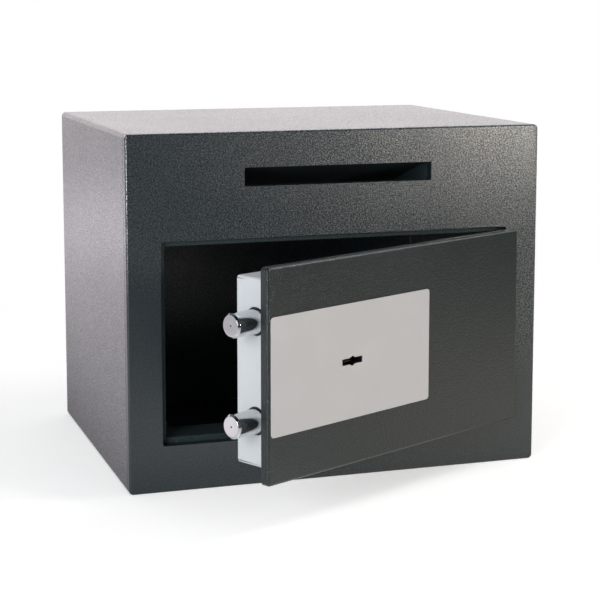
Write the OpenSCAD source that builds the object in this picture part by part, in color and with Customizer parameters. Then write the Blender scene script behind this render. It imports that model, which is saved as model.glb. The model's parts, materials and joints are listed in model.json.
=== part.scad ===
// Deposit safe: a folded steel body with a slot and chute above a locked door.
// The door stands open on concealed gooseneck hinges, with both bolts thrown.
// X runs along the front, Y runs back into the safe, Z is up. The origin is the
// middle of the base. Pieces are drawn with the door closed and with Y counted
// back from the front face, and are then moved to their place.

/* [Body] */
// Outside width of the body
body_w = 380; // [370:1:440]
// Outside height of the body
body_h = 310; // [305:1:400]
// Outside depth of the body
body_d = 300; // [240:5:420]
// Thickness of the folded body sheet and the back
wall_t = 3; // [2:0.5:4]
// Thickness of the front panel
panel_t = 9; // [9:0.5:12]
// Radius of the folded corners that run from front to back
corner_r = 2.5; // [2:0.5:5]
// Radius of the edge round the front face
rim_r = 2; // [1:0.25:2.5]
// Distance between the anchor holes from side to side
anchor_span_x = 220; // [120:10:260]
// Distance between the anchor holes in the base from front to back
anchor_span_y = 140; // [80:10:180]
// Radius of the anchor holes
anchor_r = 6; // [4:0.5:8]
// Distance from the top of the body to the anchor holes in the back
anchor_drop = 110; // [90:10:240]

/* [Door opening] */
// Width of the opening
opening_w = 320; // [300:1:322]
// Height of the opening
opening_h = 177; // [170:1:185]
// Height of the lower edge of the opening
opening_z = 41; // [34:1:46]
// Radius of the corners of the opening
opening_r = 2.5; // [1:0.5:4]
// How far the door stop shows inside the opening
stop_lip = 5; // [3:0.5:6]
// How far the door stop runs back
stop_depth = 35; // [34:1:45]
// Thickness of the door stop
stop_t = 3; // [2:0.5:4]
// Width of the strip that welds the door stop to the front panel
stop_weld_w = 8; // [6:1:10]

/* [Deposit slot and chute] */
// Width of the slot
slot_w = 172; // [120:2:220]
// Height of the slot
slot_h = 16; // [12:1:20]
// Distance from the top of the body to the slot
slot_drop = 31; // [26:1:40]
// Slope of the chute below level, in degrees
chute_slope = 17; // [12:1:20]
// Depth of the chute floor behind the front panel
chute_floor_l = 70; // [50:1:90]
// Gap between the end of the floor and the baffle
chute_gap = 22; // [18:1:30]
// Height of the baffle plate
baffle_h = 26; // [20:1:28]
// Height of a tooth on the baffle
tooth_h = 6; // [3:1:8]
// Number of teeth on the baffle
teeth = 14; // [6:1:20]
// Thickness of the chute sheet
chute_t = 1.5; // [1:0.25:2]

/* [Door] */
// How far the door is open, in degrees
door_open = 26.7; // [10:0.1:90]
// Thickness of the door plate
door_t = 8.5; // [6:0.25:8.5]
// Gap on the lock side of the door
gap_lock = 2; // [1:0.25:3]
// Gap on the hinge side of the door
gap_hinge = 6; // [5:0.25:8]
// Gap above and below the door
gap_ends = 1.5; // [1:0.25:3]
// Radius of the edge round the front of the door
door_rim_r = 2.5; // [1:0.25:3]
// Radius of the corners of the door
door_corner_r = 3; // [1:0.25:4]

/* [Hinges] */
// Depth of the hinge axis behind the front face
pivot_d = 23.5; // [22:0.5:26]
// Radius of a hinge pin
pin_r = 3; // [2.5:0.25:3.5]
// Outer radius of a hinge knuckle
knuckle_r = 5.5; // [5:0.25:6]
// Gap between a knuckle and the side wall
knuckle_gap = 1; // [0.5:0.25:2]
// Running clearance round a hinge pin
pin_gap = 0.06; // [0.02:0.01:0.1]
// Height of a hinge arm
arm_h = 20; // [16:1:26]
// Distance from one hinge arm to the other
arm_spacing = 100; // [80:2:116]
// Thickness of a hinge arm
arm_t = 6; // [4:0.5:7]
// Clearance of the swinging pieces from the jamb
swing_gap = 0.7; // [0.5:0.1:1.5]
// Thickness of a hinge lug
lug_t = 4; // [3:0.5:5]
// Thickness of a hinge washer
washer_t = 0.8; // [0.5:0.1:1]

/* [Casing of the boltwork] */
// Distance from the lock side of the door to the casing
casing_inset = 12; // [10:1:16]
// Distance from the bottom of the door to the casing
casing_bottom = 9; // [7:1:12]
// Distance from the top of the door to the casing
casing_top = 12; // [8:1:14]
// Width of the casing
casing_w = 272; // [220:2:274]
// Depth of the casing
casing_d = 41; // [41:1:48]
// Thickness of the casing sheet
casing_t = 1.5; // [1:0.25:2]
// Radius of the bolt holes in the casing
casing_hole_r = 12.5; // [11:0.5:13]
// Radius of a post that holds the casing
post_r = 4; // [3.5:0.25:5]
// Distance from the casing's edge to a post
post_inset = 12; // [10:1:13]

/* [Bolts] */
// Radius of a bolt
bolt_r = 10; // [8:0.5:10.5]
// Distance from one bolt to the other
bolt_spacing = 80.5; // [72:0.5:90]
// Distance of a bolt's axis behind the door plate
bolt_axis = 18; // [15:0.5:18]
// How far a thrown bolt reaches past the door's edge
bolt_reach = 15; // [13:0.5:16]
// How far a bolt travels
bolt_throw = 22; // [20:0.5:22]
// Length of a bolt
bolt_l = 50; // [48:1:50]
// Chamfer on the end of a bolt
bolt_chamfer = 1.5; // [0.5:0.25:2.5]
// Clearance round a bolt in its guide
guide_gap = 0.08; // [0.02:0.01:0.1]
// Length of a bolt guide
guide_l = 14; // [10:1:14]
// Clearance round a bolt in the keeper jamb
keeper_gap = 1.2; // [1:0.1:2.5]
// Thickness of the carrier bar
carrier_t = 5; // [4:0.5:5]

/* [Front plate and key] */
// Width of the front plate
plate_w = 187; // [150:1:200]
// Height of the front plate
plate_h = 96; // [80:1:110]
// Thickness of the front plate
plate_t = 0.8; // [0.5:0.1:1.5]
// Corner radius of the front plate
plate_r = 3; // [1:0.5:6]
// Distance from the door's edge to the front plate
plate_inset = 2.6; // [2:0.1:6]
// Distance from the door's edge to the key axis
key_inset = 94.5; // [94.5:0.5:98]
// Width of the keyhole
key_slot_w = 24; // [20:0.5:24]
// Height of the keyhole
key_slot_h = 5.3; // [4:0.1:6]
// Radius of the round middle of the keyhole
key_stem_r = 4; // [3.5:0.1:4.5]
// Radius of the key guide in the door
guide_r = 14; // [13:0.25:15]

/* [Lock] */
// Length of the lock case
case_w = 90; // [89:0.5:96]
// Height of the lock case
case_h = 54; // [53:0.5:60]
// Depth of the lock case
case_d = 25.5; // [25.5:0.25:27]
// Thickness of the lock case walls
case_t = 2.5; // [2:0.25:2.5]
// Thickness of the lock cover
cover_t = 2; // [1.5:0.25:3]
// Thickness of the hard plate between lock and door
hard_t = 3; // [2:0.25:3.5]
// Number of levers
levers = 5; // [3:1:5]
// Thickness of a lever
lever_t = 2.4; // [1.5:0.1:2.4]
// Gap from one lever to the next
lever_gap = 0.5; // [0.3:0.05:0.5]
// How far the levers lift, in degrees
lever_lift = 6; // [3:0.5:6]
// Radius of the lever post and of the journal of the rotor
post_pin_r = 3; // [2.5:0.1:3.1]
// Radius of the discs of the rotor
rotor_r = 13.4; // [13.2:0.05:13.6]
// Radius of the barrel of the rotor
barrel_r = 8; // [6:0.25:8.5]
// Radius of the pin that drives the lock bolt
drive_r = 2; // [1.5:0.1:2.2]
// Radius of a lock screw
screw_r = 2; // [1.5:0.1:2.2]

/* [Hidden] */

$fn = 64;
// The least size of a cut
least = 0.01;
// A cutter runs this far past what it cuts
past = 1;
// Clearance between pieces that slide past each other
slip = 0.3;
// Clearance round a screw in its hole
screw_gap = 0.15;

body_colour = [0.22, 0.24, 0.24];
door_colour = [0.20, 0.22, 0.22];
inner_colour = [0.16, 0.18, 0.18];
casing_colour = [0.80, 0.83, 0.86];
silver = [0.77, 0.75, 0.73];
chrome = [0.86, 0.86, 0.87];
steel = [0.62, 0.63, 0.64];
brass = [0.78, 0.66, 0.38];
black = [0.08, 0.08, 0.08];

half_w = body_w / 2;
inner_x = half_w - wall_t;
opening_x = opening_w / 2;
opening_top = opening_z + opening_h;
slot_z = body_h - slot_drop - slot_h;

// The hinge axis, and the jamb tip that everything on the door swings round
pivot_x = inner_x - knuckle_gap - knuckle_r;
jamb_reach = sqrt(pow(pivot_x - opening_x, 2) + pow(pivot_d, 2));
clear_r = jamb_reach + swing_gap;

door_l = -opening_x + gap_lock;
door_r = opening_x - gap_hinge;
door_w = door_r - door_l;
door_z = opening_z + gap_ends;
door_top = opening_top - gap_ends;
door_h = door_top - door_z;
mid_z = (door_z + door_top) / 2;

// The hinge-side edge is cut back where it would touch the jamb
hinge_edge = pivot_x - door_r;
bevel_d = min(door_t - least, pivot_d - sqrt(max(0, pow(clear_r, 2) - pow(hinge_edge, 2))));
bevel_x = max(least, sqrt(pow(clear_r, 2) - pow(pivot_d - door_t, 2)) - hinge_edge);

// The strip behind the hinge-side gap ends just inside that swing
jamb_tip_x = pivot_x - sqrt(pow(jamb_reach - swing_gap, 2) - pow(pivot_d - panel_t, 2));

stop_back = panel_t + stop_depth;
keeper_x = -opening_x + stop_lip;

arm_in = clear_r + swing_gap;
arm_out = arm_in + arm_t;
lug_gap = 0.2;
lug_z = arm_h / 2 + washer_t + lug_gap;

casing_l = door_l + casing_inset;
casing_r = casing_l + casing_w;
casing_z = door_z + casing_bottom;
casing_h = door_h - casing_bottom - casing_top;
casing_back = door_t + casing_d;
post_xs = [casing_l + post_inset, casing_r - post_inset];
post_zs = [casing_z + post_inset, casing_z + casing_h - post_inset];
post_thread = 10;

bolt_d0 = door_t + bolt_axis;
bolt_tip = door_l - bolt_reach;
bolt_end = bolt_tip + bolt_l;
bolt_zs = [mid_z - bolt_spacing / 2, mid_z + bolt_spacing / 2];
guide_x = casing_l + casing_t + slip;
guide_wall = 4;
carrier_end = bolt_end + carrier_t;
carrier_half = bolt_r - 1;
carrier_screw_r = 3;
carrier_screw_l = 16;
carrier_head_r = 5;
carrier_head_l = 3.5;

// The lock, in layers from the door plate backwards
key_x = door_l + key_inset;
case_x = carrier_end + bolt_throw + 3;
case_in_x = case_x + case_t;
case_in_r = case_x + case_w - case_t;
case_front = door_t + hard_t;
case_floor = case_front + case_t;
case_back = case_front + case_d;
cover_back = case_back + cover_t;
case_half = case_h / 2;
case_in_half = case_half - case_t;
lever_d = case_floor + slip;
lever_pitch = lever_t + lever_gap;
disc_t = 2;
bolt_plate_t = 4;
bolt_plate_d = case_back - slip - bolt_plate_t - 1;
disc_d = bolt_plate_d - slip - disc_t;
pillar_r = 3.5;
// Distance of a pillar's axis from the walls that it grows out of
pillar_in = pillar_r - 0.5;
pillar_xs = [case_in_x + pillar_in, case_in_r - pillar_in];
pillar_zs = [mid_z - case_in_half + pillar_in, mid_z + case_in_half - pillar_in];
screw_depth = 3;
screw_head_r = 3.6;
screw_head_t = 2;

// The drive pin goes half round the key axis as the bolt goes all its way
drive_orbit = bolt_throw / 2;
// Most that the pin's travel departs from a steady one
drive_bow = 0.211 * drive_orbit;
post_x = key_x - rotor_r - post_pin_r - 3.1;
lever_ring_r = 18;
lever_window_r = rotor_r + 0.2;
lever_hub_r = post_pin_r + 4;
lever_arm_top = 8.5;
lever_arm_low = 15;
stump_r = 2.5;
stump_x = key_x + lever_ring_r + stump_r;
lever_end = stump_x + bolt_throw + stump_r + 5;
bolt_slot_half = post_pin_r + slip;
bolt_top = drive_orbit + drive_r + 4;
bolt_low = 9;
tail_half = 8;
spring_t = 0.6;

// Place of the body's pieces
module on_body() {
    translate([0, -body_d / 2, 0]) children();
}

// Place of the door's pieces: swung open about the hinge axis
module on_door() {
    on_body()
        translate([pivot_x, pivot_d, 0])
            rotate([0, 0, door_open])
                translate([-pivot_x, -pivot_d, 0])
                    children();
}

// A rectangle with round corners, from its lower left corner
module round_rect(w, h, r) {
    translate([r, 0]) square([w - 2 * r, h]);
    translate([0, r]) square([w, h - 2 * r]);
    for (x = [r, w - r])
        for (y = [r, h - r])
            translate([x, y]) circle(r);
}

// An outline in X and Z, given a thickness from one depth backwards
module upright(d, t) {
    translate([0, d + t, 0]) rotate([90, 0, 0]) linear_extrude(t) children();
}

// A section in Y and Z, run along X
module along_x(x, l) {
    translate([x, 0, 0]) rotate([90, 0, 90]) linear_extrude(l) children();
}

// A flat piece in X and Y, given a height from one level up
module level(z, h) {
    translate([0, 0, z]) linear_extrude(h) children();
}

// A round bar or hole that runs backwards
module bar_y(x, d, z, r, l) {
    translate([x, d + l, z]) rotate([90, 0, 0]) cylinder(r = r, h = l);
}

// A round bar or hole that runs along X
module bar_x(x, d, z, r, l) {
    translate([x, d, z]) rotate([0, 90, 0]) cylinder(r = r, h = l);
}

// A rectangle of width w and thickness t whose two front corners are rounded
module front_rounded(w, t, r) {
    translate([0, r]) square([w, t - r]);
    translate([r, 0]) square([w - 2 * r, t]);
    for (x = [r, w - r])
        translate([x, r]) circle(r);
}

// A plate with round corners and a rounded edge all round its front
module soft_plate(w, h, t, corner, rim) {
    intersection() {
        upright(0, t) round_rect(w, h, corner);
        level(0, h) front_rounded(w, t, rim);
        along_x(0, w) mirror([1, -1]) front_rounded(h, t, rim);
    }
}

// The keyhole: a slot for the bits with a round middle for the stem
module key_outline() {
    translate([key_x, mid_z]) {
        square([key_slot_w, key_slot_h], center = true);
        circle(key_stem_r);
    }
}

// Body

module body_wrap() {
    color(body_colour) on_body() difference() {
        upright(panel_t, body_d - panel_t) difference() {
            translate([-half_w, 0]) round_rect(body_w, body_h, corner_r);
            translate([-inner_x, wall_t]) square([2 * inner_x, body_h - 2 * wall_t]);
        }
        for (x = [-1, 1])
            for (y = [-1, 1])
                translate([x * anchor_span_x / 2, body_d / 2 + y * anchor_span_y / 2, -past])
                    cylinder(r = anchor_r, h = wall_t + 2 * past);
    }
}

module back_panel() {
    color(body_colour) on_body() difference() {
        upright(body_d - wall_t, wall_t)
            translate([-inner_x, wall_t]) square([2 * inner_x, body_h - 2 * wall_t]);
        for (x = [-1, 1])
            bar_y(x * anchor_span_x / 2, body_d - wall_t - past, body_h - anchor_drop, anchor_r,
                wall_t + 2 * past);
    }
}

module front_panel() {
    color(body_colour) on_body() difference() {
        translate([-half_w, 0, 0]) soft_plate(body_w, body_h, panel_t, corner_r, rim_r);
        upright(-past, panel_t + 2 * past) {
            translate([-opening_x, opening_z]) round_rect(opening_w, opening_h, opening_r);
            translate([-slot_w / 2, slot_z]) square([slot_w, slot_h]);
        }
    }
}

// One side of the door stop: a strip behind the panel and a lip that runs back
module stop_section() {
    translate([panel_t, 0]) square([stop_t, stop_lip + stop_weld_w]);
    translate([panel_t, 0]) square([stop_depth, stop_t]);
}

module door_stop_top() {
    color(inner_colour) on_body()
        translate([0, 0, opening_top - stop_lip])
            along_x(keeper_x, jamb_tip_x - keeper_x) stop_section();
}

module door_stop_bottom() {
    color(inner_colour) on_body()
        translate([0, 0, opening_z + stop_lip]) mirror([0, 0, 1])
            along_x(keeper_x, jamb_tip_x - keeper_x) stop_section();
}

module keeper_jamb() {
    color(inner_colour) on_body() difference() {
        level(opening_z - stop_weld_w, opening_h + 2 * stop_weld_w)
            translate([keeper_x, 0]) mirror([1, 0]) {
                translate([0, panel_t]) square([stop_lip + stop_weld_w, stop_t]);
                translate([0, panel_t]) square([stop_t, stop_depth]);
            }
        for (z = bolt_zs)
            bar_x(keeper_x - stop_t - past, bolt_d0, z, bolt_r + keeper_gap, stop_t + 2 * past);
    }
}

module hinge_jamb() {
    color(inner_colour) on_body()
        level(opening_z - stop_weld_w, opening_h + 2 * stop_weld_w)
            translate([jamb_tip_x, panel_t]) square([opening_x + stop_weld_w - jamb_tip_x, stop_t]);
}

// Deposit chute

// Height of the chute's floor and roof at a depth behind the panel
function floor_z(l) = slot_z - slip - l * tan(chute_slope);
function roof_z(l) = slot_z + slot_h + slip - l * tan(chute_slope);
chute_side = slot_w / 2 + slip;
chute_l = chute_floor_l + chute_gap;

module chute_sheet(top_start, top_end, l) {
    polygon([
        [panel_t, top_start], [panel_t + l, top_end],
        [panel_t + l, top_end - chute_t], [panel_t, top_start - chute_t]
    ]);
}

module chute_trough() {
    color(inner_colour) on_body() {
        along_x(-chute_side, 2 * chute_side)
            chute_sheet(floor_z(0), floor_z(chute_floor_l), chute_floor_l);
        for (x = [-chute_side - chute_t, chute_side])
            along_x(x, chute_t) polygon([
                [panel_t, floor_z(0) - chute_t],
                [panel_t, roof_z(0) + chute_t],
                [panel_t + chute_l + chute_t, roof_z(chute_l) + chute_t],
                [panel_t + chute_l + chute_t, roof_z(chute_l) - baffle_h],
                [panel_t + chute_floor_l, floor_z(chute_floor_l) - chute_t]
            ]);
    }
}

module chute_roof() {
    color(inner_colour) on_body()
        along_x(-chute_side, 2 * chute_side)
            chute_sheet(roof_z(0) + chute_t, roof_z(chute_l) + chute_t, chute_l);
}

module fishing_baffle() {
    tooth_w = 2 * chute_side / teeth;
    color(steel) on_body()
        upright(panel_t + chute_l, chute_t) {
            translate([-chute_side, roof_z(chute_l) - baffle_h + tooth_h])
                square([2 * chute_side, baffle_h - tooth_h + chute_t]);
            for (i = [0 : teeth - 1])
                translate([-chute_side + i * tooth_w, roof_z(chute_l) - baffle_h])
                    polygon([[0, tooth_h], [tooth_w / 2, 0], [tooth_w, tooth_h]]);
        }
}

// Hinges

// Two lugs that stand out of the side wall, above and below a knuckle
module hinge_bracket(z) {
    back = pivot_d + arm_in;
    nose = knuckle_r + 1;
    color(steel) on_body() difference() {
        for (s = [z + lug_z, z - lug_z - lug_t])
            level(s, lug_t) {
                translate([pivot_x - nose, pivot_d]) square([inner_x - pivot_x + nose, back - pivot_d]);
                translate([pivot_x, pivot_d - nose]) square([inner_x - pivot_x, nose]);
                intersection() {
                    translate([pivot_x, pivot_d]) circle(nose);
                    translate([pivot_x - nose, pivot_d - nose]) square([nose + least, nose + least]);
                }
            }
        translate([pivot_x, pivot_d, z - lug_z - lug_t - past])
            cylinder(r = pin_r + pin_gap, h = 2 * (lug_z + lug_t + past));
    }
}

module hinge_bracket_upper() {
    hinge_bracket(mid_z + arm_spacing / 2);
}

module hinge_bracket_lower() {
    hinge_bracket(mid_z - arm_spacing / 2);
}

module hinge_pins() {
    head_h = 1.5;
    color(steel) on_body()
        for (z = [mid_z - arm_spacing / 2, mid_z + arm_spacing / 2])
            translate([pivot_x, pivot_d, z - lug_z - lug_t]) {
                cylinder(r = pin_r, h = 2 * (lug_z + lug_t));
                translate([0, 0, 2 * (lug_z + lug_t)]) cylinder(r = pin_r + 1.5, h = head_h);
            }
}

module hinge_washers() {
    color(brass) on_body()
        for (z = [mid_z - arm_spacing / 2, mid_z + arm_spacing / 2])
            translate([pivot_x, pivot_d, z - lug_z]) difference() {
                cylinder(r = knuckle_r, h = washer_t);
                translate([0, 0, -past]) cylinder(r = pin_r + pin_gap, h = washer_t + 2 * past);
            }
}

// A gooseneck: a knuckle, a leg that runs back, and a bow round the jamb tip
module hinge_arm(z) {
    leg_l = 4;
    leg_r = 2;
    foot_w = 19;
    foot_edge = pivot_x - sqrt(pow(arm_in, 2) - pow(pivot_d - door_t, 2));
    color(steel) on_door() level(z - arm_h / 2, arm_h) {
        translate([pivot_x, pivot_d]) difference() {
            union() {
                circle(knuckle_r);
                translate([-leg_l, 0]) square([leg_l + leg_r, arm_in + arm_t / 2]);
            }
            circle(pin_r + pin_gap);
        }
        difference() {
            translate([pivot_x, pivot_d]) difference() {
                circle(arm_out);
                circle(arm_in);
            }
            translate([pivot_x + leg_r, pivot_d - arm_out]) square([2 * arm_out, 2 * arm_out]);
            translate([pivot_x - 2 * arm_out, door_t - arm_out]) square([3 * arm_out, arm_out]);
            translate([pivot_x - arm_in, door_t - arm_out])
                square([2 * arm_in, arm_out + (pivot_d - door_t)]);
        }
        intersection() {
            translate([foot_edge - foot_w, door_t]) square([foot_w + arm_t, arm_t]);
            difference() {
                translate([pivot_x - 3 * arm_out, door_t]) square([3 * arm_out, arm_t]);
                translate([pivot_x, pivot_d]) circle(arm_in);
            }
        }
    }
}

module hinge_arm_upper() {
    hinge_arm(mid_z + arm_spacing / 2);
}

module hinge_arm_lower() {
    hinge_arm(mid_z - arm_spacing / 2);
}

// Door

module door_plate() {
    color(door_colour) on_door() difference() {
        translate([door_l, 0, door_z]) soft_plate(door_w, door_h, door_t, door_corner_r, door_rim_r);
        level(door_z - past, door_h + 2 * past) polygon([
            [door_r, bevel_d], [door_r + past, bevel_d],
            [door_r + past, door_t + past], [door_r - bevel_x, door_t + past],
            [door_r - bevel_x, door_t]
        ]);
        bar_y(key_x, -past, mid_z, guide_r, door_t + 2 * past);
        for (x = pillar_xs)
            for (z = pillar_zs)
                bar_y(x, door_t - screw_depth, z, screw_r + screw_gap, screw_depth + past);
    }
}

module front_plate() {
    color(silver) on_door() upright(-plate_t, plate_t) difference() {
        translate([door_l + plate_inset, mid_z - plate_h / 2]) round_rect(plate_w, plate_h, plate_r);
        key_outline();
    }
}

module keyhole_guide() {
    color(steel) on_door() upright(0, door_t) difference() {
        translate([key_x, mid_z]) circle(guide_r - pin_gap);
        key_outline();
    }
}

module door_casing() {
    color(casing_colour) on_door() difference() {
        translate([casing_l, door_t, casing_z]) cube([casing_w, casing_d, casing_h]);
        translate([casing_l + casing_t, door_t - past, casing_z + casing_t])
            cube([casing_w - 2 * casing_t, casing_d - casing_t + past, casing_h - 2 * casing_t]);
        for (z = bolt_zs)
            bar_x(casing_l - past, bolt_d0, z, casing_hole_r, casing_t + 2 * past);
        for (x = post_xs)
            for (z = post_zs)
                bar_y(x, casing_back - casing_t - past, z, screw_r + screw_gap, casing_t + 2 * past);
    }
}

module casing_posts() {
    color(steel) on_door()
        for (x = post_xs)
            for (z = post_zs)
                difference() {
                    bar_y(x, door_t, z, post_r, casing_d - casing_t);
                    bar_y(x, casing_back - casing_t - post_thread, z, screw_r + screw_gap, post_thread + past);
                }
}

module casing_screws() {
    color(chrome) on_door()
        for (x = post_xs)
            for (z = post_zs) {
                bar_y(x, casing_back - post_thread, z, screw_r, post_thread);
                bar_y(x, casing_back, z, screw_head_r, screw_head_t);
            }
}

// Lock

module hard_plate() {
    hard_edge = 2;
    color(steel) on_door() upright(door_t, hard_t) difference() {
        translate([case_x - hard_edge, mid_z - case_half - hard_edge])
            square([case_w + 2 * hard_edge, case_h + 2 * hard_edge]);
        translate([key_x, mid_z]) circle(key_slot_w / 2 + slip);
        for (x = pillar_xs)
            for (z = pillar_zs)
                translate([x, z]) circle(screw_r + screw_gap);
    }
}

module lock_case() {
    tail_gap = tail_half + slip;
    color(brass) on_door() difference() {
        union() {
            difference() {
                translate([case_x, case_front, mid_z - case_half]) cube([case_w, case_d, case_h]);
                translate([case_in_x, case_floor, mid_z - case_in_half])
                    cube([case_in_r - case_in_x, case_d, 2 * case_in_half]);
            }
            for (x = pillar_xs)
                for (z = pillar_zs)
                    bar_y(x, case_floor - case_t / 2, z, pillar_r, case_back - case_floor + case_t / 2);
        }
        for (x = pillar_xs)
            for (z = pillar_zs)
                bar_y(x, case_front - past, z, screw_r + screw_gap, case_d + 2 * past);
        bar_y(key_x, case_front - past, mid_z, rotor_r + pin_gap, case_t + 2 * past);
        translate([case_x - past, bolt_plate_d - slip, mid_z - tail_gap])
            cube([case_t + 2 * past, bolt_plate_t + 2 * slip, 2 * tail_gap]);
    }
}

module lock_cover() {
    color(brass) on_door() upright(case_back, cover_t) difference() {
        translate([case_x, mid_z - case_half]) square([case_w, case_h]);
        translate([key_x, mid_z]) circle(post_pin_r + pin_gap);
        for (x = pillar_xs)
            for (z = pillar_zs)
                translate([x, z]) circle(screw_r + screw_gap);
    }
}

module lock_screws() {
    color(chrome) on_door()
        for (x = pillar_xs)
            for (z = pillar_zs) {
                bar_y(x, door_t - screw_depth, z, screw_r, cover_back - door_t + screw_depth);
                bar_y(x, cover_back, z, screw_head_r, screw_head_t);
            }
}

module lever_post() {
    color(steel) on_door() bar_y(post_x, case_floor, mid_z, post_pin_r, case_back - case_floor);
}

// The rotor that the key turns: two discs, a slotted barrel, a journal and a drive pin
module key_rotor() {
    color(brass) on_door() {
        difference() {
            union() {
                bar_y(key_x, case_front + slip, mid_z, rotor_r, case_t - slip);
                bar_y(key_x, case_front + slip, mid_z, barrel_r, disc_d - case_front);
            }
            upright(case_front - past, disc_d - case_front + past) key_outline();
        }
        bar_y(key_x, disc_d, mid_z, rotor_r, disc_t);
        bar_y(key_x, disc_d, mid_z, post_pin_r, cover_back - slip - disc_d);
        bar_y(key_x - drive_orbit, disc_d, mid_z, drive_r, disc_t + slip + bolt_plate_t);
    }
}

// One lever, flat, with its pivot hole, key window and bolt window
module lever_outline() {
    window_top = stump_r + slip;
    window_low = (stump_x + bolt_throw - post_x) * sin(lever_lift) + stump_r + slip;
    window_side = stump_r + 1.5;
    difference() {
        union() {
            translate([post_x, mid_z]) circle(lever_hub_r);
            translate([key_x, mid_z]) circle(lever_ring_r);
            translate([post_x, mid_z - lever_hub_r]) square([key_x - post_x, 2 * lever_hub_r]);
            translate([key_x, mid_z - lever_arm_low])
                square([lever_end - key_x, lever_arm_low + lever_arm_top]);
        }
        translate([post_x, mid_z]) circle(post_pin_r + pin_gap);
        translate([key_x, mid_z]) circle(lever_window_r);
        translate([stump_x - window_side, mid_z - window_low])
            square([bolt_throw + 2 * window_side, window_low + window_top]);
    }
}

module lock_levers() {
    color(brass) on_door()
        for (i = [0 : levers - 1])
            upright(lever_d + i * lever_pitch, lever_t) lever_outline();
}

// A leaf on each lever, from the top of its arm up to the roof of the case
module lever_springs() {
    foot_x = key_x + lever_ring_r + 1;
    bend_x = foot_x + 8;
    tip_x = lever_end - 2;
    low = mid_z + lever_arm_top;
    high = mid_z + case_in_half - slip;
    color(steel) on_door()
        for (i = [0 : levers - 1])
            upright(lever_d + i * lever_pitch + lever_t / 4, lever_t / 2) polygon([
                [foot_x, low], [bend_x, low], [tip_x, high - spring_t],
                [tip_x, high], [bend_x - spring_t / 2, low + spring_t], [foot_x, low + spring_t]
            ]);
}

// Bolts

// A round bolt with a chamfered end, a centre mark and a threaded hole behind
module bolt(z) {
    mark_r = 1;
    color(chrome) on_door()
        translate([bolt_tip, bolt_d0, z]) rotate([0, 90, 0]) rotate_extrude() polygon([
            [0, mark_r], [mark_r, 0], [bolt_r - bolt_chamfer, 0], [bolt_r, bolt_chamfer],
            [bolt_r, bolt_l], [carrier_screw_r + screw_gap, bolt_l],
            [carrier_screw_r + screw_gap, bolt_l - carrier_screw_l], [0, bolt_l - carrier_screw_l]
        ]);
}

module bolt_upper() {
    bolt(bolt_zs[1]);
}

module bolt_lower() {
    bolt(bolt_zs[0]);
}

// A block on the back of the door that a bolt slides in
module bolt_guide(z) {
    color(steel) on_door() difference() {
        translate([guide_x, door_t, z - bolt_r - guide_wall])
            cube([guide_l, bolt_axis + bolt_r + guide_wall, 2 * (bolt_r + guide_wall)]);
        bar_x(guide_x - past, bolt_d0, z, bolt_r + guide_gap, guide_l + 2 * past);
    }
}

module bolt_guide_upper() {
    bolt_guide(bolt_zs[1]);
}

module bolt_guide_lower() {
    bolt_guide(bolt_zs[0]);
}

module bolt_carrier() {
    color(steel) on_door() difference() {
        translate([bolt_end, bolt_d0 - carrier_half, bolt_zs[0] - bolt_r])
            cube([carrier_t, 2 * carrier_half, bolt_spacing + 2 * bolt_r]);
        for (z = bolt_zs)
            bar_x(bolt_end - past, bolt_d0, z, carrier_screw_r + screw_gap, carrier_t + 2 * past);
    }
}

module carrier_screws() {
    color(chrome) on_door()
        for (z = bolt_zs) {
            bar_x(carrier_end - carrier_screw_l, bolt_d0, z, carrier_screw_r, carrier_screw_l);
            bar_x(carrier_end, bolt_d0, z, carrier_head_r, carrier_head_l);
        }
}

// The lock's own bolt: a slotted tail on the carrier, a plate with the drive
// pin's notch, and the stump that runs in the levers' windows
module lock_bolt() {
    plate_x = post_x + 1;
    plate_end = stump_x + stump_r + 4;
    slot_l = post_x - bolt_throw - post_pin_r - slip;
    slot_r = key_x + post_pin_r + slip;
    notch_half = drive_r + drive_bow + slip;
    color(steel) on_door() {
        upright(bolt_plate_d, bolt_plate_t) difference() {
            union() {
                translate([carrier_end, mid_z - tail_half]) square([plate_x - carrier_end, 2 * tail_half]);
                translate([plate_x, mid_z - bolt_low]) square([plate_end - plate_x, bolt_low + bolt_top]);
            }
            translate([slot_l, mid_z - bolt_slot_half]) square([slot_r - slot_l, 2 * bolt_slot_half]);
            translate([key_x - drive_orbit - notch_half, mid_z])
                square([2 * notch_half, drive_orbit + drive_r + slip]);
        }
        bar_y(stump_x, lever_d, mid_z, stump_r, bolt_plate_d - lever_d);
    }
}

body_wrap();
back_panel();
front_panel();
door_stop_top();
door_stop_bottom();
keeper_jamb();
hinge_jamb();
chute_trough();
chute_roof();
fishing_baffle();
hinge_bracket_upper();
hinge_bracket_lower();
hinge_pins();
hinge_washers();
door_plate();
front_plate();
keyhole_guide();
door_casing();
casing_posts();
casing_screws();
hinge_arm_upper();
hinge_arm_lower();
bolt_guide_upper();
bolt_guide_lower();
hard_plate();
lock_case();
lock_cover();
lock_screws();
lever_post();
bolt_upper();
bolt_lower();
bolt_carrier();
carrier_screws();
lock_bolt();
key_rotor();
lock_levers();
lever_springs();
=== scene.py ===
"""Deposit safe: textured steel body with a slot, and a door that stands open with its bolts thrown."""

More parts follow.
